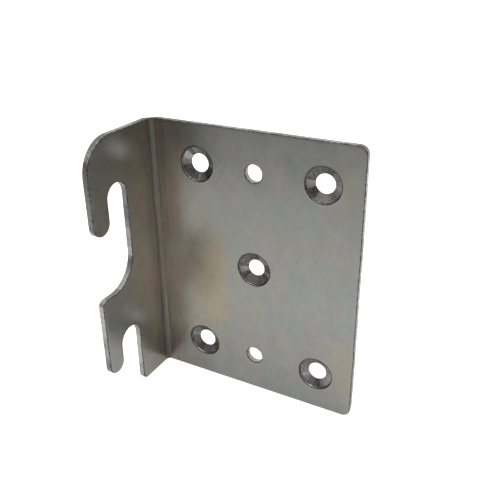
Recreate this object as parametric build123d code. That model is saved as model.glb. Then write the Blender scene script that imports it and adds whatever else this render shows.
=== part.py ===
from build123d import *
import os

# Hook bracket: one steel sheet, blanked, pierced, countersunk and folded once.
# The plate is screwed down by its back face. The flange stands forward from the
# plate's left side, and its two hooks drop over pins.
#
# Frame: +X runs along the plate away from the fold, +Y is out of the plate's back
# face, +Z is up. The origin is the centre of the footprint, at the lower edge.
# All sizes are millimetres.

# ---- the sheet and its two sides ----
sheet = 2.3  # thickness of the steel
height = 100.0  # both sides are this tall
plate_width = 80.0  # outer face of the flange to the free edge of the plate
flange_reach = 36.5  # back face of the plate to the free edge of the hooks
bend_radius = 1.6  # inside of the fold
plate_corner = 3.2  # radius of the two free corners of the plate

# ---- the flange's outline; widths run from the plate's back face, heights from below ----
spine_width = 18.6  # the part of the flange that stays whole beside the fold
upper_slot_width = 9.7
upper_slot_top = 83.1  # crown of the upper slot
upper_hook_tip = 67.3  # lowest point of the upper hook
throat_floor = 44.0  # shelf between the hooks
throat_radius = 11.8  # sweep from the spine out to that shelf
lower_slot_width = 10.4
lower_slot_top = 27.3  # crown of the lower slot
lower_hook_tip = 13.2  # lowest point of the lower hook
brow_radius = 12.0  # outer top corner of the flange
shoulder_radius = 2.2  # outer end of the shelf
foot_radius = 2.3  # lower corner of the spine

# ---- holes; columns run from the flange's outer face, rows from below ----
first_column = 20.4
column_spacing = 46.0
middle_column = 42.0
first_row = 14.3
row_spacing = 71.4
centre_row = 50.3
screw_hole = 6.6  # four corner screws
centre_screw_hole = 6.0
plain_hole = 6.2  # two holes with no countersink
sink_width = 12.4  # mouth of every countersink
sink_step = 0.7  # straight wall at the mouth
sink_land = 0.2  # straight wall left at the back face

# ---- edges rolled over by the punch, on the inner faces only ----
outline_roll = 0.3
plain_hole_roll = 0.5

# ---- places that follow from the sizes ----
flange_outer = -plate_width / 2
flange_inner = flange_outer + sheet
plate_back = flange_reach / 2
plate_front = plate_back - sheet
second_row = first_row + row_spacing
second_column = first_column + column_spacing

# On the plate's back face: across is +X from the flange's outer face, up is +Z, out is +Y.
back_plane = Plane(origin=(flange_outer, plate_back, 0), x_dir=(1, 0, 0), z_dir=(0, -1, 0))
# On the flange's inner face: across is -Y from the plate's back face, up is +Z, out is -X.
flange_plane = Plane(origin=(flange_inner, plate_back, 0), x_dir=(0, -1, 0), z_dir=(-1, 0, 0))


def folded_sheet():
    """The blank after the fold: an L section, as tall as the bracket."""
    plate = Pos(flange_outer, plate_front) * Rectangle(plate_width, sheet, align=Align.MIN)
    flange = Pos(flange_outer, -plate_back) * Rectangle(sheet, flange_reach, align=Align.MIN)
    section = plate + flange
    outer = section.vertices().sort_by_distance((flange_outer, plate_back))[0]
    section = fillet(outer, bend_radius + sheet)
    inner = section.vertices().sort_by_distance((flange_inner, plate_front))[0]
    section = fillet(inner, bend_radius)
    return extrude(section, amount=height)


def downward_hook(slot_width, slot_top, hook_tip):
    """A slot with a round crown beside a hook with a round tip, drawn from the slot's inner wall.

    Returns the crown, the hook's inner side and the tip, and the point on the free edge
    where the tip ends."""
    slot_radius = slot_width / 2
    tip_radius = (flange_reach - spine_width - slot_width) / 2
    slot_outer = spine_width + slot_width
    crown_height = slot_top - slot_radius
    tip_height = hook_tip + tip_radius
    crown = ThreePointArc(
        (spine_width, crown_height),
        (spine_width + slot_radius, slot_top),
        (slot_outer, crown_height),
    )
    side = Line((slot_outer, crown_height), (slot_outer, tip_height))
    tip = ThreePointArc(
        (slot_outer, tip_height),
        (slot_outer + tip_radius, hook_tip),
        (flange_reach, tip_height),
    )
    return crown, side, tip, tip @ 1


def flange_outline():
    """The flange as it is blanked, from the plate's back face out to the hooks."""
    lower = downward_hook(lower_slot_width, lower_slot_top, lower_hook_tip)
    upper = downward_hook(upper_slot_width, upper_slot_top, upper_hook_tip)
    foot_end = (spine_width, foot_radius)
    foot = RadiusArc((spine_width - foot_radius, 0), foot_end, -foot_radius)
    shoulder_top = (flange_reach - shoulder_radius, throat_floor)
    shoulder = RadiusArc((flange_reach, throat_floor - shoulder_radius), shoulder_top, -shoulder_radius)
    throat_start = (spine_width + throat_radius, throat_floor)
    throat_end = (spine_width, throat_floor + throat_radius)
    throat = RadiusArc(throat_start, throat_end, throat_radius)
    brow_start = (flange_reach, height - brow_radius)
    brow_end = (flange_reach - brow_radius, height)
    brow = RadiusArc(brow_start, brow_end, -brow_radius)
    edges = [
        Line((0, 0), foot @ 0),
        foot,
        Line(foot @ 1, lower[0] @ 0),
        *lower[:3],
        Line(lower[3], shoulder @ 0),
        shoulder,
        Line(shoulder @ 1, throat @ 0),
        throat,
        Line(throat @ 1, upper[0] @ 0),
        *upper[:3],
        Line(upper[3], brow @ 0),
        brow,
        Line(brow @ 1, (0, height)),
        Line((0, height), (0, 0)),
    ]
    return make_face(Wire(edges))


def cut_hooks(bracket):
    """Blank the hooks, the throat and the rounded corners out of the flange."""
    around = Rectangle(2 * flange_reach, 2 * height, align=(Align.CENTER, Align.CENTER))
    scrap = Pos(flange_reach, height / 2) * around - flange_outline()
    return bracket - extrude(flange_plane * scrap, amount=2 * sheet, both=True)


def round_plate_corners(bracket):
    free_edge = bracket.faces().sort_by(Axis.X)[-1]
    corners = free_edge.edges().filter_by(Axis.Y)
    return fillet(corners, plate_corner)


def stepped_sink(hole_width):
    """Cutter for a countersunk hole, standing on the back plane with its mouth outward.

    From the back: a short straight land, a cone, and a straight step at the mouth."""
    hole_radius = hole_width / 2
    mouth_radius = sink_width / 2
    profile = Polyline(
        (0, -sheet),
        (hole_radius, -sheet),
        (hole_radius, sink_land),
        (mouth_radius, sheet - sink_step),
        (mouth_radius, 2 * sheet),
        (0, 2 * sheet),
        close=True,
    )
    return revolve(Plane.XZ * make_face(profile), Axis.Z)


def pierce_plate(bracket):
    """Four corner screws, one centre screw, and two plain holes on the middle column."""
    corner_places = [
        (column, row) for column in (first_column, second_column) for row in (first_row, second_row)
    ]
    corner_sink = stepped_sink(screw_hole)
    for column, row in corner_places:
        bracket -= back_plane * Pos(column, row) * corner_sink
    bracket -= back_plane * Pos(middle_column, centre_row) * stepped_sink(centre_screw_hole)
    plain_cutter = Cylinder(plain_hole / 2, 4 * sheet)
    for row in (first_row, second_row):
        bracket -= back_plane * Pos(middle_column, row) * plain_cutter
    return bracket


def inner_faces(bracket):
    """The plate's front, the inside of the fold and the flange's inner face."""
    front = bracket.faces().filter_by(Plane.XZ).sort_by(Axis.Y)[-2]
    fold_line = (flange_inner, plate_front, height / 2)
    fold = bracket.faces().filter_by(GeomType.CYLINDER).sort_by_distance(fold_line)[0]
    side = bracket.faces().filter_by(Plane.YZ).sort_by(Axis.X)[-2]
    return [front, fold, side]


def roll_edges(bracket):
    """Round what the punch rolled over: the outline on the inner faces, and the plain holes."""
    edges = [edge for face in inner_faces(bracket) for edge in face.outer_wire().edges()]
    outline = [edge for edge in edges if sum(edge.is_same(other) for other in edges) == 1]
    bracket = fillet(outline, outline_roll)
    front = inner_faces(bracket)[0]
    mouths = ShapeList([wire.edge() for wire in front.inner_wires()])
    plain_mouths = mouths.filter_by(lambda mouth: abs(mouth.radius - plain_hole / 2) < outline_roll)
    return fillet(plain_mouths, plain_hole_roll)


bracket = folded_sheet()
bracket = cut_hooks(bracket)
bracket = round_plate_corners(bracket)
bracket = pierce_plate(bracket)
bracket = roll_edges(bracket)

os.makedirs("parts", exist_ok=True)
export_step(bracket, "parts/bracket.step")
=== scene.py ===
# %% [markdown]
# # A folded hook bracket in mill-finish steel
# The bracket is one strip of steel, 2.3 mm thick. A press blanks its outline, pierces seven
# holes, and folds it once into an L. The plate screws to the end of a rail, and the two hooks
# of the flange drop over pins.
# This notebook makes it in the same order as the factory: a flat blank first, then the fold,
# then the finish. The load call brings in the engineering model, and everything here is
# placed from that model's own box, in metres.

# %% Load the engineering model
import math

import bpy
from mathutils import Matrix, Vector, noise
from mathutils.geometry import delaunay_2d_cdt


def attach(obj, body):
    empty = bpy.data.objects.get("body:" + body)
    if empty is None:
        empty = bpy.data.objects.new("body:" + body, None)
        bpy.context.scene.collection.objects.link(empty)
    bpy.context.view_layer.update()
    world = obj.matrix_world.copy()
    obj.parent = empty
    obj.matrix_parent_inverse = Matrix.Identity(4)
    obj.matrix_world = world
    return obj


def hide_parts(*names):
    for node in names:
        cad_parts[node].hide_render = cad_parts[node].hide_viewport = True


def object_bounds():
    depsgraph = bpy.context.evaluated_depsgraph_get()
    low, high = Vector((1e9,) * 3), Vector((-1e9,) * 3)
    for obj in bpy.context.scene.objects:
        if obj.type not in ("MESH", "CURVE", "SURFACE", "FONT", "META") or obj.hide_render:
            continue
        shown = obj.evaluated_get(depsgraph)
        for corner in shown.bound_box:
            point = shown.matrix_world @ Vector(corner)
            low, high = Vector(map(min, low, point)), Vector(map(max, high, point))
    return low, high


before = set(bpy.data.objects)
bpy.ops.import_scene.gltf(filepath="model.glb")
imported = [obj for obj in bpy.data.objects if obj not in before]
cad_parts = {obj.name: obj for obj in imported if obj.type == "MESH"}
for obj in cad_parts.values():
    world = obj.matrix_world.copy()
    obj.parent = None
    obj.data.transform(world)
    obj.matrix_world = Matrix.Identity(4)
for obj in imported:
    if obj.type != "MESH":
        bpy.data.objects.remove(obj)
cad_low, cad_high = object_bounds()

print("engineering box:", [round(v, 4) for v in (*cad_low, *cad_high)])

# %% [markdown]
# ## The view
# A camera is a position, three angles and a lens. The view looks down at the inside of the
# fold from the front right, close enough for the sheet's sides to lean together a little.
# Roll is the small tilt of a camera held by hand.

# %% Camera
MM = 0.001

camera_place = Vector((93.8, -158.0, 156.1)) * MM
camera_turn = math.radians(29.18)  # to the right of straight ahead
camera_pitch = math.radians(25.57)  # looking down
camera_roll = math.radians(-0.99)
camera_lens = 47.94  # millimetres, on a sensor 36 mm wide


def camera_axes(turn, pitch, roll):
    """The camera's right, up and backward directions."""
    backward = Vector(
        (math.sin(turn) * math.cos(pitch), -math.cos(turn) * math.cos(pitch), math.sin(pitch))
    )
    level = Vector((0, 0, 1)).cross(backward).normalized()
    upright = backward.cross(level)
    right = level * math.cos(roll) + upright * math.sin(roll)
    return right, backward.cross(right), backward


camera_data = bpy.data.cameras.new("view")
camera_data.lens = camera_lens
camera_data.sensor_width = 36
camera_data.clip_start = 0.01
camera = bpy.data.objects.new("view", camera_data)
bpy.context.scene.collection.objects.link(camera)
axes = camera_axes(camera_turn, camera_pitch, camera_roll)
camera.matrix_world = Matrix.Translation(camera_place) @ Matrix(axes).transposed().to_4x4()
bpy.context.scene.camera = camera
bpy.context.scene.view_settings.view_transform = "Standard"
print("camera stands", round(camera_place.length, 3), "m from the bracket's foot")

# %% [markdown]
# ## The blank
# A blank is drawn on one flat sheet. `across` runs from the free edge of the hooks to the
# free edge of the plate, `up` runs from the bottom edge, and `depth` goes into the steel from
# the face that ends up inside the fold. The fold eats a little of the strip's length: its
# allowance is the arc at the neutral depth, where the steel neither stretches nor shrinks.

# %% Sizes of the sheet
sheet = 2.3 * MM
bend_radius = 1.6 * MM  # inside of the fold
neutral_depth = 0.4  # share of the sheet's thickness
height = cad_high[2] - cad_low[2]
plate_width = cad_high[0] - cad_low[0]
flange_reach = cad_high[1] - cad_low[1]

fold_allowance = math.pi / 2 * (bend_radius + neutral_depth * sheet)
flange_flat = flange_reach - sheet - bend_radius
plate_flat = plate_width - sheet - bend_radius
fold_end = flange_flat + fold_allowance
blank_width = fold_end + plate_flat
print("the blank is %.1f x %.1f mm" % (blank_width / MM, height / MM))

# %% [markdown]
# ## Drawing the outline
# The outline is nothing but lines and arcs that run into each other smoothly, so a small pen
# is enough to draw it. The pen leaves a point about every 0.4 mm: a cut edge needs that many
# for its small waves. It also stops at each line of the fold, because the sheet can only bend
# where it has points.

# %% A pen for lines and arcs
pen_step = 0.4 * MM
fold_steps = 12
fold_lines = [flange_flat + fold_allowance * k / fold_steps for k in range(fold_steps + 1)]


class Pen:
    """Leaves points along a path in the plane of the blank."""

    def __init__(self, across, up):
        self.points = [Vector((across, up))]

    def line(self, across, up):
        start, end = self.points[-1], Vector((across, up))
        span = end - start
        count = max(1, round(span.length / pen_step))
        shares = [k / count for k in range(1, count)]
        if abs(span.x) > flange_flat:
            crossings = [(line - start.x) / span.x for line in fold_lines]
            shares = [s for s in shares if not min(crossings) <= s <= max(crossings)] + crossings
        self.points += [start + span * share for share in sorted(shares)] + [end]

    def arc(self, centre, radius, start_angle, end_angle):
        count = max(6, round(abs(math.radians(end_angle - start_angle)) * radius / pen_step))
        for k in range(1, count + 1):
            angle = math.radians(start_angle + (end_angle - start_angle) * k / count)
            self.points.append(Vector(centre) + radius * Vector((math.cos(angle), math.sin(angle))))


print("the fold is drawn in", fold_steps, "strips,", round(fold_allowance / MM, 2), "mm in all")

# %% [markdown]
# A slot and the hook beside it are the same drawing twice, so one function draws both. The
# pen comes down the free edge, goes round the tip, up the slot's outer wall, over its crown
# and down again along the spine.

# %% The blank's outline
plate_corner = 3.2 * MM
spine_width = 18.6 * MM  # from the plate's back face to the slots
throat_floor = 44.0 * MM  # shelf between the hooks
throat_radius = 11.8 * MM
brow_radius = 12.0 * MM
shoulder_radius = 2.2 * MM
foot_radius = 2.3 * MM
spine_edge = flange_reach - spine_width  # the spine's free side, measured from the hooks' edge


def draw_hook(pen, slot_width, slot_top, hook_tip):
    """From the free edge round one hook and over the crown of the slot behind it."""
    tip_radius = (spine_edge - slot_width) / 2
    crown_radius = slot_width / 2
    pen.line(0, hook_tip + tip_radius)
    pen.arc((tip_radius, hook_tip + tip_radius), tip_radius, 180, 360)
    pen.line(2 * tip_radius, slot_top - crown_radius)
    pen.arc((spine_edge - crown_radius, slot_top - crown_radius), crown_radius, 180, 0)


def blank_outline():
    """The closed outline, anticlockwise from the foot of the spine."""
    pen = Pen(spine_edge + foot_radius, 0)
    pen.line(blank_width - plate_corner, 0)
    pen.arc((blank_width - plate_corner, plate_corner), plate_corner, -90, 0)
    pen.line(blank_width, height - plate_corner)
    pen.arc((blank_width - plate_corner, height - plate_corner), plate_corner, 0, 90)
    pen.line(brow_radius, height)
    pen.arc((brow_radius, height - brow_radius), brow_radius, 90, 180)
    draw_hook(pen, slot_width=9.7 * MM, slot_top=83.1 * MM, hook_tip=67.3 * MM)
    pen.line(spine_edge, throat_floor + throat_radius)
    pen.arc((spine_edge - throat_radius, throat_floor + throat_radius), throat_radius, 0, -90)
    pen.line(shoulder_radius, throat_floor)
    pen.arc((shoulder_radius, throat_floor - shoulder_radius), shoulder_radius, 90, 180)
    draw_hook(pen, slot_width=10.4 * MM, slot_top=27.3 * MM, hook_tip=13.2 * MM)
    pen.line(spine_edge, foot_radius)
    pen.arc((spine_edge + foot_radius, foot_radius), foot_radius, 180, 270)
    return pen.points[:-1]


outline = blank_outline()
print("the outline has", len(outline), "points")

# %% [markdown]
# ## Edges that a punch leaves
# A punch pulls the near edge of the steel down with it, which leaves it rounded: that is the
# roll. Then it cuts, which leaves a wall square to the sheet, and last the steel tears, which
# leaves the wall a little undersize. A profile says that as rows of inset, depth and the tool
# that made the strip below that row, because each tool leaves a finish of its own.
# The first and the last row lie flat on the sheet, a millimetre in from the edge, so that the
# shading of the rounded edge stays at the edge.

# %% Profiles of the cut edge
MILL, PUNCH, ROLL, CUTTER, STEP, BURR = range(6)

outline_roll = 0.3 * MM
plain_hole_roll = 0.35 * MM
back_break = 0.1 * MM  # tiny bevel where the edge meets the back
tear_inset = 0.04 * MM  # how far the torn part of the wall falls back
tear_depth = 0.45 * sheet  # where the cut ends and the tear starts
flat_margin = 1.0 * MM


def rolled_profile(roll):
    """Rows of a punched edge, from the front face to the back face."""
    arc = [math.radians(angle) for angle in (0, 22.5, 45, 67.5)]
    rows = [(roll + flat_margin, 0, MILL)]
    rows += [(roll * (1 - math.sin(a)), roll * (1 - math.cos(a)), ROLL) for a in arc]
    rows += [(0, roll, PUNCH), (0, tear_depth, PUNCH)]
    rows += [(tear_inset, tear_depth + back_break, PUNCH), (tear_inset, sheet - back_break, ROLL)]
    rows += [(tear_inset + back_break, sheet, MILL), (roll + flat_margin, sheet, MILL)]
    return rows


print("an outline edge has", len(rolled_profile(outline_roll)), "rings")

# %% [markdown]
# ## Countersunk holes
# Five of the holes are sunk for screw heads with a drill-like cutter. Its mouth is a short
# straight step, below it runs the cone, and a sliver of the punched hole is left at the back.
# Cutting throws up a burr around the mouth, thinner than a sheet of paper, which is what
# makes the rim of such a hole look ragged.

# %% Profiles of the holes
screw_hole = 6.6 * MM
centre_screw_hole = 6.0 * MM
plain_hole = 6.2 * MM
sink_width = 12.4 * MM
sink_step = 0.7 * MM
sink_land = 0.2 * MM
burr_height = 0.05 * MM
burr_depth = 0.25 * MM  # how far its torn lip reaches down into the mouth
burr_width = 0.21 * MM
cone_shares = (0.09, 0.3, 0.55, 0.8, 1)  # how far down the cone its rings lie


def sunk_profile(hole_width):
    """Rows of a countersunk hole, with radii for insets, from the front face to the back."""
    mouth, hole = sink_width / 2, hole_width / 2
    cone_end = sheet - sink_land
    rows = [(mouth + flat_margin, 0, MILL), (mouth + 2 * burr_width, 0, MILL)]
    rows += [(mouth + burr_width, -burr_height / 2, BURR), (mouth + burr_width / 3, -burr_height, BURR)]
    rows += [(mouth, burr_depth, STEP), (mouth, sink_step - burr_height, ROLL)]
    for share in cone_shares:
        radius = mouth + (hole - mouth) * share
        rows.append((radius, sink_step + (cone_end - sink_step) * share, CUTTER))
    rows += [(hole, sheet - back_break, ROLL), (hole + back_break, sheet, MILL)]
    rows.append((hole + flat_margin, sheet, MILL))
    return rows


def plain_profile(hole_width):
    """The same for a punched hole with nothing cut into it."""
    rows = rolled_profile(plain_hole_roll)
    return [(hole_width / 2 + inset, depth, tool) for inset, depth, tool in rows]


print("a countersink has", len(sunk_profile(screw_hole)), "rings")

# %% Places of the holes
first_column, second_column = 20.4 * MM, 66.4 * MM  # from the outer face of the flange
middle_column = 42.0 * MM
first_row, second_row = 14.3 * MM, 85.7 * MM
centre_row = 50.3 * MM

hole_places = {
    (column, row): sunk_profile(screw_hole)
    for column in (first_column, second_column)
    for row in (first_row, second_row)
}
hole_places[middle_column, centre_row] = sunk_profile(centre_screw_hole)
for row in (first_row, second_row):
    hole_places[middle_column, row] = plain_profile(plain_hole)
plate_shift = fold_end - sheet - bend_radius  # from a place on the plate to one on the blank
print(len(hole_places), "holes")

# %% [markdown]
# ## From rings to a flat blank
# Every edge is now a stack of rings: the outline or a hole, moved in by the inset and down by
# the depth of each line of its profile. Neighbouring rings are joined with four-sided faces.
# What is left is the flat steel between the innermost rings, once in front and once at the
# back, and a constrained Delaunay triangulation fills that. The fold's lines go into it as
# constraints, so that no triangle spans the fold.
# A real cut edge is never quite even, so a slow noise along the edge pushes the rings in by
# a few hundredths of a millimetre.

# %% Rings
hole_points = 96
wave_length = 1.1 * MM
wave_depth = 0.05 * MM
rim_wave_depth = 0.18 * MM
rim_rings = range(1, 6)  # from the burr's outer side to the top of the cone
rim_seed = 7
dip_depth = 0.3 * MM


def ring_normals(points):
    """Unit vectors that point into the steel, square to a closed anticlockwise path."""
    normals = []
    for before, after in zip(points[-1:] + points[:-1], points[1:] + points[:1]):
        along = (after - before).normalized()
        normals.append(Vector((-along.y, along.x)))
    return normals


def run_lengths(points):
    """Distance along the closed path to each point, and once round."""
    lengths = [0.0]
    for here, there in zip(points, points[1:] + points[:1]):
        lengths.append(lengths[-1] + (there - here).length)
    return lengths


def wave(place, seed):
    """0 to 1, slowly varying along the edge."""
    return 0.5 + 0.5 * noise.noise(Vector((place.x, place.y, seed * wave_length)) / wave_length)


def fold_dip(place):
    """How far the far side of the sheet is drawn in where the fold stretches it."""
    share = (place.x - flange_flat) / fold_allowance
    return dip_depth * math.sin(math.pi * share) if 0 < share < 1 else 0


def outline_rings():
    normals = ring_normals(outline)
    rings = []
    for level, (inset, depth, _) in enumerate(rolled_profile(outline_roll)):
        flat = abs(inset - outline_roll - flat_margin) < 1e-9
        ring = []
        for point, normal in zip(outline, normals):
            push = 0 if flat else wave_depth * wave(point, level // 2) + fold_dip(point) * depth / sheet
            ring.append((*(point + normal * (inset + push)), depth))
        rings.append(ring)
    return rings


def hole_rings(place, profile):
    centre = Vector((place[0] + plate_shift, place[1]))
    rings = []
    for level, (radius, depth, _) in enumerate(profile):
        ring = []
        for k in range(hole_points):
            angle = 2 * math.pi * k / hole_points
            spoke = Vector((math.cos(angle), math.sin(angle)))
            wavy = wave(centre + spoke * radius, rim_seed) - 0.5
            push = rim_wave_depth * wavy if level in rim_rings else 0
            ring.append((*(centre + spoke * (radius + push)), depth))
        rings.append(ring)
    return rings


all_rings = [outline_rings()]
all_rings += [hole_rings(place, profile) for place, profile in hole_places.items()]
print("points on rings:", sum(len(ring) for rings in all_rings for ring in rings))

# %% The fill between the rings


def fold_line_edges(ring, first):
    """Pairs of ring points that the lines of the fold run between, numbered from `first`."""
    pairs = []
    for line in fold_lines:
        ends = [first + k for k, point in enumerate(ring) if abs(point[0] - line) < 1e-7]
        pairs.append(tuple(ends))
    return pairs


def fill_flat(rings, holes):
    """Triangles, as numbers of ring points, that fill the first ring and leave out the others."""
    points = [Vector(point[:2]) for ring in rings for point in ring]
    edges = fold_line_edges(rings[0], 0)
    first = 0
    for ring in rings:
        count = len(ring)
        edges += [(first + k, first + (k + 1) % count) for k in range(count)]
        first += count
    spots, _, faces, sources, _, _ = delaunay_2d_cdt(points, edges, [], 1, 1e-9)
    triangles = []
    for face in faces:
        middle = sum((spots[k] for k in face), Vector((0, 0))) / 3
        if all((middle - centre).length > radius for centre, radius in holes):
            triangles.append([sources[k][0] for k in face])
    return triangles


def hole_reaches(level):
    """The centre of each hole, and the least radius of its ring at that level."""
    flattened = math.cos(math.pi / hole_points)  # a ring's sides run inside its circle
    return [
        (Vector((column + plate_shift, row)), profile[level][0] * flattened)
        for (column, row), profile in hole_places.items()
    ]


front_fill = fill_flat([rings[0] for rings in all_rings], hole_reaches(0))
back_fill = fill_flat([rings[-1] for rings in all_rings], hole_reaches(-1))
print("fill triangles:", len(front_fill), "in front,", len(back_fill), "at the back")

# %% [markdown]
# ## The blank as a mesh
# The mesh stands where the plate will be, with the flange still flat beside it. Besides its
# shape it carries what the finish needs to know: where each point lies on the flat blank, a
# map that runs along each cut edge and down into it, which tool made each face, and which
# edge the face belongs to.

# %% Where the blank stands
plate_start = cad_low[0] + sheet + bend_radius  # where the flat of the plate begins
plate_front = cad_high[1] - sheet
floor_height = cad_low[2]


def stand_up(point):
    """From (across, up, depth) on the blank to a place in the frame, with the fold still flat."""
    across, up, depth = point
    return Vector((across - fold_end + plate_start, plate_front + depth, floor_height + up))


places = [stand_up(point) for rings in all_rings for ring in rings for point in ring]
ring_starts = [0]
for rings in all_rings:
    ring_starts.append(ring_starts[-1] + len(rings) * len(rings[0]))
print("points on the blank:", len(places))

# %% Faces of the cut edges
faces, tools, edges_of_faces, maps = [], [], [], []


def add_face(face, tool_number, edge, corners):
    faces.append(face)
    tools.append(tool_number)
    edges_of_faces.append(edge)
    maps.append(corners)


def add_edge(edge, rings, profile):
    """Four-sided faces between the rings of one edge. Edge 0 is the outline, and faces out."""
    count = len(rings[0])
    runs = run_lengths([Vector(point[:2]) for point in rings[0]])
    slants = [0.0]
    for (inset_a, depth_a, _), (inset_b, depth_b, _) in zip(profile, profile[1:]):
        slants.append(slants[-1] + math.hypot(inset_b - inset_a, depth_b - depth_a))
    for level in range(len(rings) - 1):
        first = ring_starts[edge] + level * count
        second = first + count
        for k in range(count):
            after = (k + 1) % count
            face = (first + k, second + k, second + after, first + after)
            corners = [(runs[k], slants[level]), (runs[k], slants[level + 1])]
            corners += [(runs[k + 1], slants[level + 1]), (runs[k + 1], slants[level])]
            way = 1 if edge == 0 else -1
            add_face(face[::way], profile[level][2], edge, corners[::way])


edge_profiles = [rolled_profile(outline_roll), *hole_places.values()]
for edge, (rings, profile) in enumerate(zip(all_rings, edge_profiles)):
    add_edge(edge, rings, profile)
print("faces of the cut edges:", len(faces))

# %% Faces of the flat steel


def add_fill(triangles, level):
    """The fill's triangles, between the first or the last ring of every edge."""
    numbers = []
    for rings, start in zip(all_rings, ring_starts):
        base = start + (level % len(rings)) * len(rings[0])
        numbers += range(base, base + len(rings[0]))
    for triangle in triangles:
        face = [numbers[k] for k in triangle][:: 1 if level == 0 else -1]
        add_face(face, MILL, 0, [(places[k].x, places[k].z) for k in face])


add_fill(front_fill, 0)
add_fill(back_fill, -1)
print("faces of the flat steel:", len(front_fill) + len(back_fill))

# %% Build the blank


def build_blank():
    mesh = bpy.data.meshes.new("blank")
    mesh.from_pydata(places, [], faces)
    flat_places = [value for place in places for value in place]
    mesh.attributes.new("flat_place", "FLOAT_VECTOR", "POINT").data.foreach_set("vector", flat_places)
    mesh.attributes.new("tool", "FLOAT", "FACE").data.foreach_set("value", tools)
    edge_numbers = mesh.attributes.new("edge_number", "FLOAT", "FACE")
    edge_numbers.data.foreach_set("value", edges_of_faces)
    flat_maps = [value for corners in maps for corner in corners for value in corner]
    mesh.uv_layers.new(name="cut").uv.foreach_set("vector", flat_maps)
    mesh.update()
    made = bpy.data.objects.new("folded_sheet", mesh)
    bpy.context.scene.collection.objects.link(made)
    return made


blank = build_blank()
print("blank:", len(blank.data.vertices), "points,", len(blank.data.polygons), "faces")

# %% [markdown]
# ## Node trees written as sums
# Both Geometry Nodes and materials are trees of small nodes. Written one node at a time they
# get long, so this class wraps an output socket and lets Python's own operators add the Math
# nodes. Every other kind of node comes from its one method `node`.

# %% A wire that can be reckoned with


def add_node(tree, kind, settings=None, inputs=None):
    """A node of that kind: settings are set first, then each input gets a value or a wire."""
    made = tree.nodes.new(kind)
    for name, value in (settings or {}).items():
        setattr(made, name, value)
    for key, value in (inputs or {}).items():
        if isinstance(value, Wire):
            tree.links.new(value.socket, made.inputs[key])
        else:
            made.inputs[key].default_value = value
    return made


class Wire:
    """An output socket. Sums, products and comparisons of wires add Math nodes."""

    def __init__(self, tree, socket):
        self.tree, self.socket = tree, socket

    def node(self, kind, settings=None, inputs=None, output=0):
        made = add_node(self.tree, kind, settings, inputs)
        return Wire(self.tree, made.outputs[output])

    def math(self, operation, *values, clamp=False):
        settings = {"operation": operation, "use_clamp": clamp}
        return self.node("ShaderNodeMath", settings, dict(enumerate(values)))

    def __add__(self, other):
        return self.math("ADD", self, other)

    def __sub__(self, other):
        return self.math("SUBTRACT", self, other)

    def __rsub__(self, other):
        return self.math("SUBTRACT", other, self)

    def __mul__(self, other):
        return self.math("MULTIPLY", self, other)

    def __truediv__(self, other):
        return self.math("DIVIDE", self, other)

    __radd__, __rmul__ = __add__, __mul__


# %% [markdown]
# ## The fold
# A fold is a rule, so Geometry Nodes make it: one Set Position node moves every point of the
# blank. A point before the fold stays. A point inside the fold turns about the fold's axis by
# its share of the allowance, on a circle as wide as the inside radius plus its own depth. A
# point past the fold gets the full turn and keeps its distance, square to where it was.
# The tree's inputs are the numbers that a press operator would set.

# %% Geometry Nodes: fold
fold_inputs = {
    "Fold line": plate_start,
    "Front face": plate_front,
    "Inside radius": bend_radius,
    "Allowance": fold_allowance,
    "Angle": math.pi / 2,
}


def fold_tree(material):
    tree = bpy.data.node_groups.new("fold", "GeometryNodeTree")
    tree.interface.new_socket("Geometry", in_out="INPUT", socket_type="NodeSocketGeometry")
    for name in fold_inputs:
        tree.interface.new_socket(name, in_out="INPUT", socket_type="NodeSocketFloat")
    tree.interface.new_socket("Geometry", in_out="OUTPUT", socket_type="NodeSocketGeometry")
    entry = tree.nodes.new("NodeGroupInput")
    given = {socket.name: Wire(tree, socket) for socket in entry.outputs if socket.name}

    place = given["Geometry"].node("GeometryNodeInputPosition")
    parts = add_node(tree, "ShaderNodeSeparateXYZ", inputs={0: place})
    x, y, z = (Wire(tree, socket) for socket in parts.outputs)
    back = (given["Fold line"] - x).math("MAXIMUM", given["Fold line"] - x, 0.0)
    share = (back / given["Allowance"]).math("MINIMUM", back / given["Allowance"], 1.0)
    past = back.math("MAXIMUM", back - given["Allowance"], 0.0)
    angle = share * given["Angle"]
    sine, cosine = angle.math("SINE", angle), angle.math("COSINE", angle)
    radius = given["Inside radius"] + (y - given["Front face"])
    folded_x = given["Fold line"] - radius * sine - past * cosine
    folded_y = given["Front face"] - given["Inside radius"] + radius * cosine - past * sine
    before = x.math("GREATER_THAN", x, given["Fold line"])
    new_x = before * x + (1 - before) * folded_x
    new_y = before * y + (1 - before) * folded_y
    target = x.node("ShaderNodeCombineXYZ", inputs={0: new_x, 1: new_y, 2: z})
    moved = x.node("GeometryNodeSetPosition", inputs={"Geometry": given["Geometry"], "Position": target})
    real = x.node("GeometryNodeRealizeInstances", inputs={"Geometry": moved})
    painted = x.node("GeometryNodeSetMaterial", inputs={"Geometry": real, "Material": material})
    leave = tree.nodes.new("NodeGroupOutput")
    tree.links.new(painted.socket, leave.inputs[0])
    return tree


def run_tree(piece, tree, values):
    """Puts the tree on the piece as a modifier, with its inputs set by their identifiers."""
    modifier = piece.modifiers.new(tree.name, "NODES")
    modifier.node_group = tree
    for item in tree.interface.items_tree:
        if item.in_out == "INPUT" and item.name in values:
            modifier[item.identifier] = values[item.name]


def settle(piece):
    """Turns what the modifiers make into the piece's own plain mesh."""
    graph = bpy.context.evaluated_depsgraph_get()
    mesh = bpy.data.meshes.new_from_object(piece.evaluated_get(graph))
    piece.modifiers.clear()
    piece.data = mesh
    return mesh


steel = bpy.data.materials.new("mill_steel")
steel.use_nodes = True
print("the fold takes", {name: round(value, 4) for name, value in fold_inputs.items()})

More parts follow.
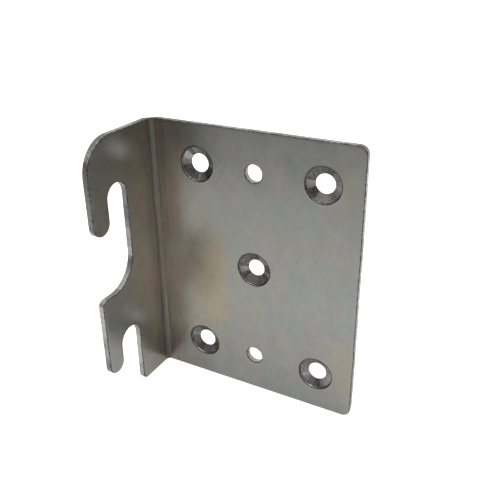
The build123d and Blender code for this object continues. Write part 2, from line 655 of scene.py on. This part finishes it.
# %% [markdown]
# ## Burrs
# The cutter leaves crumbs of steel hanging on the rims of the countersinks. There are a few
# dozen around each one, so a second tree scatters them: points at random on the strip that
# the cutter raised, a small lump on each point, every one turned and sized differently. It
# runs before the fold, because these holes were sunk in the flat blank.

# %% Geometry Nodes: burrs
burr_inputs = {
    "Crumbs per square metre": 2.2e6,
    "Smallest": 0.04 * MM,
    "Largest": 0.22 * MM,
    "Seed": 5,
}


def burr_tree(material):
    tree = bpy.data.node_groups.new("burrs", "GeometryNodeTree")
    tree.interface.new_socket("Geometry", in_out="INPUT", socket_type="NodeSocketGeometry")
    for name in burr_inputs:
        kind = "NodeSocketInt" if name == "Seed" else "NodeSocketFloat"
        tree.interface.new_socket(name, in_out="INPUT", socket_type=kind)
    tree.interface.new_socket("Geometry", in_out="OUTPUT", socket_type="NodeSocketGeometry")
    entry = tree.nodes.new("NodeGroupInput")
    given = {socket.name: Wire(tree, socket) for socket in entry.outputs if socket.name}
    blank_wire = given["Geometry"]

    number = {"data_type": "FLOAT"}
    tools = blank_wire.node("GeometryNodeInputNamedAttribute", number, {"Name": "tool"})
    raised = tools.math("COMPARE", tools, float(BURR), 0.4)
    strip = {"Mesh": blank_wire, "Selection": raised, "Seed": given["Seed"]}
    strip["Density"] = given["Crumbs per square metre"]
    points = blank_wire.node("GeometryNodeDistributePointsOnFaces", inputs=strip)
    lump = blank_wire.node("GeometryNodeMeshIcoSphere", inputs={"Radius": 1.0, "Subdivisions": 1})
    size_range = {2: given["Smallest"], 3: given["Largest"], "Seed": given["Seed"]}
    size = blank_wire.node("FunctionNodeRandomValue", number, size_range, output=1)
    turn_range = {0: (0, 0, 0), 1: (math.tau, math.tau, math.tau), "Seed": given["Seed"]}
    turn = blank_wire.node("FunctionNodeRandomValue", {"data_type": "FLOAT_VECTOR"}, turn_range)
    shape = size.node("ShaderNodeCombineXYZ", inputs={0: size, 1: size * 1.6, 2: size * 0.7})
    placed = {"Points": points, "Instance": lump, "Rotation": turn, "Scale": shape}
    crumbs = blank_wire.node("GeometryNodeInstanceOnPoints", inputs=placed)
    crumbs = crumbs.node("GeometryNodeRealizeInstances", inputs={"Geometry": crumbs})
    place = crumbs.node("GeometryNodeInputPosition")
    notes = (
        ("tool", "FLOAT", "FACE", float(BURR)),
        ("flat_place", "FLOAT_VECTOR", "POINT", place),
    )
    for name, kind, domain, value in notes:
        note = {"Geometry": crumbs, "Name": name, "Value": value}
        settings = {"data_type": kind, "domain": domain}
        crumbs = crumbs.node("GeometryNodeStoreNamedAttribute", settings, note)
    joined = add_node(tree, "GeometryNodeJoinGeometry")
    tree.links.new(crumbs.socket, joined.inputs[0])
    tree.links.new(blank_wire.socket, joined.inputs[0])
    whole = Wire(tree, joined.outputs[0])
    real = whole.node("GeometryNodeRealizeInstances", inputs={"Geometry": whole})
    painted = whole.node("GeometryNodeSetMaterial", inputs={"Geometry": real, "Material": material})
    leave = tree.nodes.new("NodeGroupOutput")
    tree.links.new(painted.socket, leave.inputs[0])
    return tree


print("the burrs take", burr_inputs)

# %% Run both trees
sharp_angle = math.radians(38)  # steeper edges are drawn as edges, flatter ones as curves
crumb_points = 12  # corners of one lump

blank.data.polygons.foreach_set("use_smooth", [True] * len(blank.data.polygons))
blank.data.set_sharp_from_angle(angle=sharp_angle)
run_tree(blank, burr_tree(steel), burr_inputs)
run_tree(blank, fold_tree(steel), fold_inputs)
weighted = blank.modifiers.new("weighted_normals", "WEIGHTED_NORMAL")
weighted.keep_sharp = True
weighted.weight = 100
points_before = len(blank.data.vertices)
mesh = settle(blank)
print("crumbs:", (len(mesh.vertices) - points_before) // crumb_points)
print("folded:", [round(v, 5) for v in blank.bound_box[0]], [round(v, 5) for v in blank.bound_box[6]])

# %% [markdown]
# ## The steel
# The finish is bare cold-rolled steel as it leaves the mill, under a film of oil. Nothing on
# it is painted, so it is a metal everywhere and its colour is the tint of its reflections.
# What varies is small: rolling grain, faint pits, cloudy patches where the oil has dried, and
# warm stains where the press tool rubbed beside the fold.
# Nearly all of it was there before the fold, so these patterns are laid out on the flat blank
# and bend with it.

# %% What the mesh tells the material
steel_tree = steel.node_tree
steel_shader = steel_tree.nodes["Principled BSDF"]
steel_shader.inputs["IOR"].default_value = 1.5


def from_mesh(name, output):
    made = add_node(steel_tree, "ShaderNodeAttribute", {"attribute_name": name})
    return Wire(steel_tree, made.outputs[output])


flat_place = from_mesh("flat_place", "Vector")
flat_parts = add_node(steel_tree, "ShaderNodeSeparateXYZ", inputs={0: flat_place})
across, depth, up = (Wire(steel_tree, socket) for socket in flat_parts.outputs)
tool = from_mesh("tool", "Fac")
edge_number = from_mesh("edge_number", "Fac")
cut_map = Wire(steel_tree, add_node(steel_tree, "ShaderNodeUVMap", {"uv_map": "cut"}).outputs["UV"])
cut_parts = add_node(steel_tree, "ShaderNodeSeparateXYZ", inputs={0: cut_map})
cut_run, cut_slant = (Wire(steel_tree, cut_parts.outputs[name]) for name in ("X", "Y"))
print("on the mesh:", [note.name for note in mesh.attributes if note.name[0] != "."])

# %% [markdown]
# Four helpers say everything the steel needs: a cloud of a given size, a soft step, a choice
# between two colours, and a mask for one tool. A cloud's size is a real length, in metres,
# so the grain stays the same whatever the piece is.

# %% Shader helpers


def cloud(place, size, stretch=(1, 1, 1), detail=2.0, seed=0.0):
    """Noise from about 0 to 1, with lumps of that size, stretched by those factors."""
    scale = tuple(1 / (size * s) for s in stretch)
    shift = (seed * 3.1, seed * 7.3, seed * 1.7)
    settings = {"operation": "MULTIPLY_ADD"}
    spread = place.node("ShaderNodeVectorMath", settings, {0: place, 1: scale, 2: shift})
    return place.node("ShaderNodeTexNoise", inputs={"Vector": spread, "Scale": 1.0, "Detail": detail})


def soft_step(value, start, end, low=0.0, high=1.0):
    """Runs smoothly from low to high while the value goes from start to end."""
    settings = {"interpolation_type": "SMOOTHSTEP"}
    return value.node("ShaderNodeMapRange", settings, {0: value, 1: start, 2: end, 3: low, 4: high})


def blend(share, first, second, how="MIX"):
    """The first colour where the share is 0, the second where it is 1."""
    settings = {"data_type": "RGBA", "blend_type": how}
    colours = {}
    for key, colour in ((6, first), (7, second)):
        colours[key] = (*colour, 1) if isinstance(colour, tuple) else colour
    made = add_node(steel_tree, "ShaderNodeMix", settings, {0: share, **colours})
    return Wire(steel_tree, made.outputs[2])


def made_by(number):
    """1 on the faces that this tool made."""
    return tool.math("COMPARE", tool, number, 0.4)


punched, rolled_over, burred = made_by(PUNCH), made_by(ROLL), made_by(BURR)
sunk, stepped = made_by(CUTTER), made_by(STEP)
print("masks for punch, roll, burr, cutter and step:", len(steel_tree.nodes), "nodes so far")

# %% [markdown]
# ### Mill surface
# Rollers leave fine lines along the strip, here up and down the bracket. Clouds in three
# sizes stand for uneven oil and scale, and scattered pits for the grit that was rolled in.
# Pits come in groups, so one cloud decides where they may be and another where they are, and
# they are dashes at a slant, so that cloud is turned before it is stretched. A thread of
# scratch follows a line of equal height in a big cloud.

# %% Mill grain, clouds and pits
grain = cloud(flat_place, 0.22 * MM, (1, 1, 40), detail=3)
fine_clouds = cloud(flat_place, 1.3 * MM, detail=4, seed=1)
broad_clouds = cloud(flat_place, 5 * MM, (1, 1, 1.4), detail=4, seed=2)
wide_clouds = cloud(flat_place, 24 * MM, detail=2, seed=3)

slant = math.radians(-24)
along = across * math.cos(slant) + up * math.sin(slant)
athwart = up * math.cos(slant) - across * math.sin(slant)
slanted_place = along.node("ShaderNodeCombineXYZ", inputs={0: along, 1: depth, 2: athwart})
pit_groups = soft_step(cloud(flat_place, 11 * MM, detail=2, seed=4), 0.46, 0.66)
pit_spots = soft_step(cloud(slanted_place, 0.5 * MM, (2.2, 1, 0.8), detail=2, seed=5), 0.68, 0.80)
pits = pit_groups * pit_spots
bright_spots = soft_step(cloud(slanted_place, 0.6 * MM, (2, 1, 0.7), detail=1, seed=15), 0.68, 0.76)

scratch_field = cloud(flat_place, 60 * MM, detail=1, seed=13) - 0.5
scratch_breaks = soft_step(cloud(flat_place, 6 * MM, detail=1, seed=14), 0.5, 0.6)
scratches = soft_step(scratch_field.math("ABSOLUTE", scratch_field), 0.0025, 0.0006) * scratch_breaks
print("mill surface:", len(steel_tree.nodes), "nodes so far")

# %% [markdown]
# ### Stains and painted shade
# A stain is an oval on the blank whose rim is pushed about by a cloud. The largest one runs
# along the fold, where the sheet was pinched between the tools and the oil was squeezed and
# heated. Beside it the flange is made a little brighter, and a band of painted shade lies on
# its inner face. Painted shade darkens the foot of the fold and the plate's top, and the upper
# hook's edge is made darker. Hand marks and the band lie on the inner face only, so they are masked by
# depth.

# %% Stains
stain_edge = cloud(flat_place, 9 * MM, detail=4, seed=6) - 0.5
raggedness = 1.6


def stain(centre, half_size, softness=1.0):
    """1 inside a ragged oval on the blank, given in metres from the fold's end and the foot."""
    sideways = (across - (plate_start + centre[0])) / half_size[0]
    upward = (up - centre[1]) / half_size[1]
    square = sideways * sideways + upward * upward
    distance = square.math("SQRT", square)
    return soft_step(distance + stain_edge * raggedness, 1 + softness / 2, 1 - softness / 2)


inner_half = soft_step(depth, plate_front + 0.6 * sheet, plate_front + 0.4 * sheet)
fold_stain = stain((-5 * MM, 55 * MM), (17 * MM, 75 * MM))
# The flange beside the fold is made a little lighter here.
flange_brighter = stain((-18 * MM, 45 * MM), (24 * MM, 30 * MM), softness=1.4)
# Painted shade: darkens the corner at the foot of the fold.
painted_foot_shade = stain((4 * MM, 0 * MM), (14 * MM, 12 * MM))
# Painted shade: darkens the plate along its top.
painted_top_shade = stain((36 * MM, 106 * MM), (74 * MM, 19 * MM), softness=1.4)
palm_stain = stain((20 * MM, 42 * MM), (7.5 * MM, 21 * MM), softness=1.1) * inner_half
rim_stain = stain((73 * MM, 20 * MM), (5 * MM, 9 * MM)) * inner_half
# Painted shade: a dark band on the flange's inner face beside the fold.
painted_shade_beside_fold = stain((-5 * MM, 47 * MM), (3.4 * MM, 30 * MM), softness=1.5) * inner_half
# Makes the upper hook's edge darker.
upper_hook_darker = stain((-36.5 * MM, 76 * MM), (6 * MM, 16 * MM))

fold_middle = plate_start - fold_allowance / 2
fold_distance = (across - fold_middle).math("ABSOLUTE", across - fold_middle)
fold_streaks = cloud(flat_place, 0.9 * MM, (1, 1, 14), detail=3, seed=16)
fold_reach = fold_distance + (fold_streaks - 0.5) * 2.0 * MM
fold_scuff = soft_step(fold_reach, fold_allowance * 0.7, fold_allowance * 0.15) * inner_half
beside_fold = soft_step(fold_distance, 12 * MM, 2 * MM)
print("stains:", len(steel_tree.nodes), "nodes so far")

# %% [markdown]
# Oil dries to faint rainbow tints: olive, rose and a cold grey lie next to each other. Three
# clouds choose where, warm near the fold and cold toward the plate's free edge. Inside the
# fold, where the tool squeezed the oil, two more make the tints stronger and smaller.

# %% Colour of the flat faces
clean_steel = (0.305, 0.306, 0.292)
cold_steel = (0.293, 0.304, 0.293)
olive_steel = (0.305, 0.300, 0.262)
rose_steel = (0.318, 0.300, 0.282)
oiled_steel = (0.340, 0.315, 0.266)
stained_steel = (0.352, 0.310, 0.232)
blush_steel = (0.350, 0.292, 0.268)
moss_steel = (0.300, 0.296, 0.236)
scuffed_steel = (0.135, 0.117, 0.100)
pit_black = (0.07, 0.066, 0.062)

olive_clouds = soft_step(cloud(flat_place, 7 * MM, detail=3, seed=17), 0.46, 0.66)
rose_clouds = soft_step(cloud(flat_place, 8 * MM, detail=3, seed=18), 0.50, 0.68)
cold_clouds = soft_step(cloud(flat_place, 10 * MM, detail=3, seed=19), 0.40, 0.60)
blush_clouds = soft_step(cloud(flat_place, 4 * MM, (1, 1, 1.8), detail=3, seed=21), 0.46, 0.60)
moss_clouds = soft_step(cloud(flat_place, 4.5 * MM, (1, 1, 1.6), detail=3, seed=22), 0.48, 0.62)
toward_free_edge = soft_step(across, plate_start + 5 * MM, plate_start + 60 * MM, 0.25, 1.0)

mill_colour = blend(cold_clouds * toward_free_edge, clean_steel, cold_steel)
mill_colour = blend(olive_clouds * 0.8, mill_colour, olive_steel)
mill_colour = blend(rose_clouds * 0.8, mill_colour, rose_steel)
mill_colour = blend(fold_stain * 0.75, mill_colour, oiled_steel)
near_fold = soft_step(fold_distance, 24 * MM, 5 * MM) * inner_half * 0.8
mill_colour = blend(moss_clouds * near_fold, mill_colour, moss_steel)
mill_colour = blend(blush_clouds * near_fold, mill_colour, blush_steel)
mill_colour = blend(palm_stain * 0.95, mill_colour, stained_steel)
mill_colour = blend(rim_stain * 0.5, mill_colour, stained_steel)
mill_colour = blend(fold_scuff * (0.5 + fold_streaks * 0.3), mill_colour, scuffed_steel)

shade = 1 + (broad_clouds - 0.5) * 0.24 + (wide_clouds - 0.5) * 0.10 + (fine_clouds - 0.5) * 0.22
shade = shade + (grain - 0.5) * (0.06 + fold_stain * 0.16) + flange_brighter * 0.25
shade = shade + (fold_streaks - 0.5) * beside_fold * 0.7
# Painted shade beside the fold.
shade = shade - painted_shade_beside_fold * (0.22 + fold_streaks * 0.22)
# Painted shade at the fold's foot and along the plate's top, then spots and scratches.
shade = shade - painted_foot_shade * 0.16 - painted_top_shade * 0.18 + bright_spots * 0.06 + scratches * 0.10
shade_colour = shade.node("ShaderNodeCombineColor", inputs={0: shade, 1: shade, 2: shade})
mill_colour = blend(1.0, mill_colour, shade_colour, "MULTIPLY")
mill_colour = blend(pits * 0.6, mill_colour, pit_black)
print("flat faces:", len(steel_tree.nodes), "nodes so far")

# %% [markdown]
# ### Cut edges and countersinks
# The punch burnishes the first part of the wall and drags lines into it. They lean a little,
# because the punch does. Below them the steel tore and stays rough. The roll-over beside the
# wall is coloured dark, and the wall across the fold is darkened with painted shade.
# The countersinks were cut dry: their cones are darker than the sheet, with rings from the
# cutter, facets where it chattered, a brighter step at the mouth and a ragged rim: the burr is
# coloured near black, its shade painted into it.

# %% Cut walls
wall_dark, wall_bright = (0.16, 0.157, 0.149), (0.50, 0.493, 0.468)
darker_wall, wall_shade_colour = (0.11, 0.108, 0.102), (0.06, 0.057, 0.052)
roll_dark, roll_bright = (0.045, 0.043, 0.040), (0.20, 0.197, 0.187)
lean = 0.35
wall_place = cut_run.node("ShaderNodeCombineXYZ", inputs={0: cut_run + cut_slant * lean, 1: cut_slant})
drag_lines = cloud(wall_place, 0.45 * MM, (1, 9, 1), detail=2, seed=7)
wall_patches = cloud(wall_place, 9 * MM, detail=2, seed=12)
torn_lumps = cloud(flat_place, 0.35 * MM, detail=3, seed=8)
dragged = soft_step(cloud(wall_place, 16 * MM, detail=1, seed=20), 0.42, 0.58, 0.15, 0.7)
wall_light = soft_step(drag_lines, 0.36, 0.56) * dragged + soft_step(wall_patches, 0.35, 0.65) * 0.5
wall_grey = blend(wall_light, wall_dark, wall_bright)
# Makes the upper hook's cut wall darker.
wall_grey = blend(upper_hook_darker * 0.55, wall_grey, darker_wall)
# Painted shade: the cut wall across the fold is darkened.
painted_wall_shade = soft_step(fold_distance, fold_allowance * 1.1, fold_allowance * 0.4)
wall_grey = blend(painted_wall_shade * 0.85, wall_grey, wall_shade_colour)
roll_grey = blend(soft_step(drag_lines, 0.35, 0.7), roll_dark, roll_bright)
print("cut walls:", len(steel_tree.nodes), "nodes so far")

# %% Countersinks
cone_dark, cone_bright = (0.085, 0.080, 0.076), (0.36, 0.352, 0.338)
step_dark, step_bright = (0.50, 0.49, 0.47), (0.90, 0.88, 0.85)
# Painted shadow: the burr's near-black colour stands in for the shade along the rim.
burr_shadow_dark, burr_bright = (0.018, 0.017, 0.016), (0.10, 0.097, 0.092)

turned_place = cut_run.node("ShaderNodeCombineXYZ", inputs={0: cut_run, 1: cut_slant, 2: edge_number})
cutter_rings = cloud(turned_place, 0.16 * MM, (60, 1, 1), detail=1, seed=9)
spread = {0: turned_place, 1: (150, 0, 1)}
facet_place = turned_place.node("ShaderNodeVectorMath", {"operation": "MULTIPLY"}, spread)
in_cells = {"Vector": facet_place, "Scale": 1.0}
facets = facet_place.node("ShaderNodeTexVoronoi", {"feature": "F1"}, in_cells, output="Color")
facets = facets.node("ShaderNodeSeparateColor", inputs={0: facets})
soot = cloud(turned_place, 1.1 * MM, (1, 1, 0.001), detail=3, seed=10)
cone_light = soft_step(facets, 0.15, 0.85) * 0.7 + soft_step(soot, 0.35, 0.65) * 0.3
cone_grey = blend(cone_light, cone_dark, cone_bright)
step_grey = blend(soft_step(soot, 0.4, 0.6), step_dark, step_bright)
burr_light = soft_step(cloud(flat_place, 0.5 * MM, detail=2, seed=11), 0.5, 0.66)
burr_and_shadow_grey = blend(burr_light, burr_shadow_dark, burr_bright)
print("countersinks:", len(steel_tree.nodes), "nodes so far")

# %% The whole colour
steel_colour = blend(punched, mill_colour, wall_grey)
steel_colour = blend(rolled_over, steel_colour, roll_grey)
steel_colour = blend(sunk, steel_colour, cone_grey)
steel_colour = blend(stepped, steel_colour, step_grey)
steel_colour = blend(burred, steel_colour, burr_and_shadow_grey)
steel_tree.links.new(steel_colour.socket, steel_shader.inputs["Base Color"])
steel_shader.inputs["Metallic"].default_value = 1.0
print("colour:", len(steel_tree.nodes), "nodes so far")

# %% [markdown]
# ### Gloss and relief
# Roughness is how much a reflection is smeared. Relief is given in metres of height, so its
# parts can be compared with the sheet's thickness: grain is a thousandth of a millimetre deep
# and a pit a few hundredths.

# %% Roughness
mill_rough = 0.30 + (broad_clouds - 0.5) * 0.10 + (fine_clouds - 0.5) * 0.10 + pits * 0.2
mill_rough = mill_rough + fold_scuff * 0.32 + rolled_over * 0.1 + burred * 0.2
wall_rough = 0.30 + (torn_lumps - 0.5) * 0.2 + soft_step(cut_slant, 1.2 * MM, 2.2 * MM) * 0.12
cone_rough = 0.34 + (cutter_rings - 0.5) * 0.15
turned = sunk + stepped
rough = mill_rough * (1 - punched) * (1 - turned) + wall_rough * punched + cone_rough * turned
steel_tree.links.new(rough.socket, steel_shader.inputs["Roughness"])
print("roughness:", len(steel_tree.nodes), "nodes so far")

# %% Relief
mill_relief = grain * 0.0012 * MM + fine_clouds * 0.006 * MM + broad_clouds * 0.02 * MM
mill_relief = mill_relief - pits * 0.03 * MM - scratches * 0.004 * MM
wall_relief = drag_lines * 0.03 * MM + torn_lumps * 0.01 * MM
cone_relief = cutter_rings * 0.006 * MM + soot * 0.02 * MM
relief = mill_relief * (1 - punched) * (1 - turned) + wall_relief * punched + cone_relief * turned
bump = relief.node("ShaderNodeBump", inputs={"Distance": 1.0, "Height": relief, "Strength": 1.0})
steel_tree.links.new(bump.socket, steel_shader.inputs["Normal"])
print("steel:", len(steel_tree.nodes), "nodes")

# %% [markdown]
# ## The studio
# Polished or brushed, bare steel has hardly any colour of its own: it shows the room. So the
# room is half of the finish. This one is a pale floor under a soft lamp, bright behind the
# bracket and overhead, and unlit at eye height on the camera's side. That dark band draws the
# lines along the rolled edges and shades the countersinks.
# The floor glows a little for rays from the camera and off the steel only, so it looks white
# and still takes the bracket's shadow. Seen directly, the room is white as well.

# %% Floor
floor_reach = 4.0
floor_grey = 0.7
near_glow, near_start, near_full = 0.27, -0.2, 0.0  # brightens between these places, in metres
far_glow, far_start, far_full = 0.76, 0.03, 0.5
seen_glow = 0.45


def paint_floor():
    material = bpy.data.materials.new("pale_floor")
    material.use_nodes = True
    tree = material.node_tree
    shader = tree.nodes["Principled BSDF"]
    shader.inputs["Base Color"].default_value = (floor_grey, floor_grey, floor_grey, 1)
    shader.inputs["Roughness"].default_value = 0.9
    shader.inputs["Specular IOR Level"].default_value = 0.0
    shader.inputs["Emission Strength"].default_value = 1.0
    place = Wire(tree, add_node(tree, "ShaderNodeTexCoord").outputs["Object"])
    back = place.node("ShaderNodeSeparateXYZ", inputs={0: place}, output="Y")

    path = add_node(tree, "ShaderNodeLightPath")
    camera_ray, glossy_ray, through_ray = (
        Wire(tree, path.outputs[name])
        for name in ("Is Camera Ray", "Is Glossy Ray", "Is Transmission Ray")
    )
    seen = camera_ray.math("MAXIMUM", camera_ray, glossy_ray)
    seen = seen.math("MAXIMUM", seen, through_ray)
    near = soft_step(back, near_start, near_full, 0.0, near_glow)
    far = soft_step(back, far_start, far_full, 0.0, far_glow)
    glow = seen * (near + far) + camera_ray * seen_glow
    tree.links.new(glow.socket, shader.inputs["Emission Color"])
    return material


def lay_floor():
    mesh = bpy.data.meshes.new("floor")
    r = floor_reach
    mesh.from_pydata([(-r, -r, 0), (r, -r, 0), (r, r, 0), (-r, r, 0)], [], [(0, 1, 2, 3)])
    mesh.materials.append(paint_floor())
    floor = bpy.data.objects.new("floor", mesh)
    bpy.context.scene.collection.objects.link(floor)


lay_floor()
print("floor:", 2 * floor_reach, "m wide")

# %% Lamp and room
lamp_place = Vector((0.03, 0.02, 0.42))
lamp_aim = Vector((0, 0, 0.03))
lamp_size = 0.35
lamp_watts = 1.2
room_bright, room_dark = 0.8, 0.04
wall_back, wall_front = 0.35, -0.2  # the room darkens from back to front between these
skirting, ceiling = (-0.03, 0.12), (0.15, 0.5)  # how far up a direction points


def hang_lamp():
    data = bpy.data.lights.new("soft_lamp", "AREA")
    data.size = lamp_size
    data.energy = lamp_watts
    lamp = bpy.data.objects.new("soft_lamp", data)
    bpy.context.scene.collection.objects.link(lamp)
    lamp.location = lamp_place
    lamp.rotation_euler = (lamp_aim - lamp_place).to_track_quat("-Z", "Y").to_euler()


def light_room():
    world = bpy.data.worlds.new("room")
    world.use_nodes = True
    tree = world.node_tree
    direction = Wire(tree, add_node(tree, "ShaderNodeTexCoord").outputs["Generated"])
    parts = add_node(tree, "ShaderNodeSeparateXYZ", inputs={0: direction})
    back, above = Wire(tree, parts.outputs["Y"]), Wire(tree, parts.outputs["Z"])
    dark = soft_step(back, wall_front, wall_back, 1.0, 0.0) * soft_step(above, *skirting)
    dark = dark * soft_step(above, *ceiling, 1.0, 0.0)
    level = room_bright + dark * (room_dark - room_bright)
    camera_ray = Wire(tree, add_node(tree, "ShaderNodeLightPath").outputs["Is Camera Ray"])
    level = level.math("MAXIMUM", level, camera_ray)
    tree.links.new(level.socket, tree.nodes["Background"].inputs["Color"])
    bpy.context.scene.world = world


hang_lamp()
light_room()
print("lamp hangs", round(lamp_place.z, 2), "m above the floor")

# %% [markdown]
# ## Hand over
# The folded sheet stands for the engineering model's one solid and rides on its one body.

# %% Hand over
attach(blank, "root")
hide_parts("bracket")
